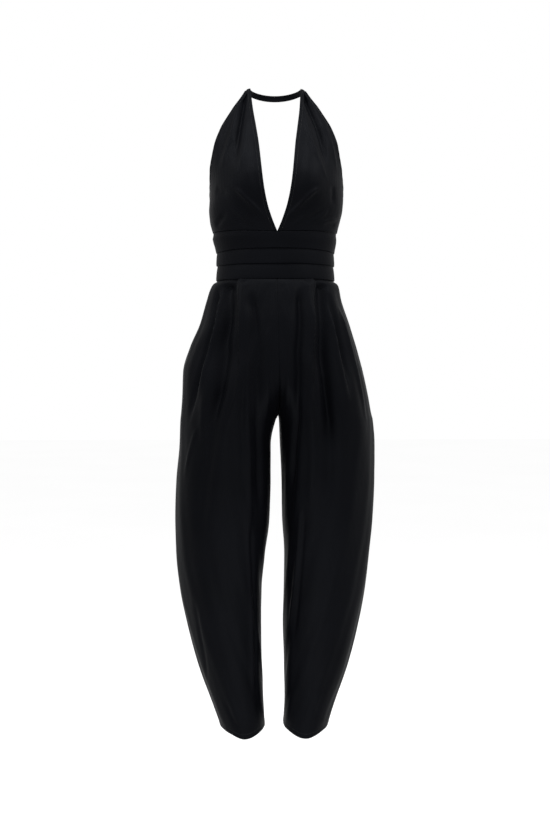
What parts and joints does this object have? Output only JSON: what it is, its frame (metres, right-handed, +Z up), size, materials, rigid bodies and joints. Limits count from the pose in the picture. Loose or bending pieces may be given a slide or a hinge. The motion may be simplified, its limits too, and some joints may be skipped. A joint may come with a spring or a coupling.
{
  "type": "halter jumpsuit with tucked waistband and tapered pleated trousers",
  "caption": "Black crepe halter jumpsuit with a deep V neckline, a tucked waistband and pleated, tapered trousers, filled out as worn.",
  "frame": {"origin": "middle of the neck strap's inner face at the nape, where the garment is held up", "axes": "+Z up along the body, -Y to the front, +X to the wearer's left"},
  "size_m": [0.4172, 0.2602, 1.3514],
  "materials": {
    "crepe": "matt black crepe with a soft sheen at grazing angles",
    "zip_tape": "black woven tape",
    "zip_metal": "satin black enamel"
  },
  "bodies": {
    "garment": {"bodice_left": "crepe", "bodice_right": "crepe", "neck_strap": "crepe", "waist_tuck_top": "crepe", "waist_tuck_middle": "crepe", "waist_tuck_bottom": "crepe", "leg_front_left": "crepe", "leg_front_right": "crepe", "leg_back_left": "crepe", "leg_back_right": "crepe", "zip_tape_left": "zip_tape", "zip_tape_right": "zip_tape", "zip_slider": "zip_metal"},
    "pull": {"zip_pull": "zip_metal"}
  },
  "joints": [
    {"name": "pull_hinge", "type": "hinge", "parent": "garment", "child": "pull", "pos_m": [0, 0.0321, -0.3], "axis": [1, 0, 0], "range_deg": [0, 165]}
  ]
}
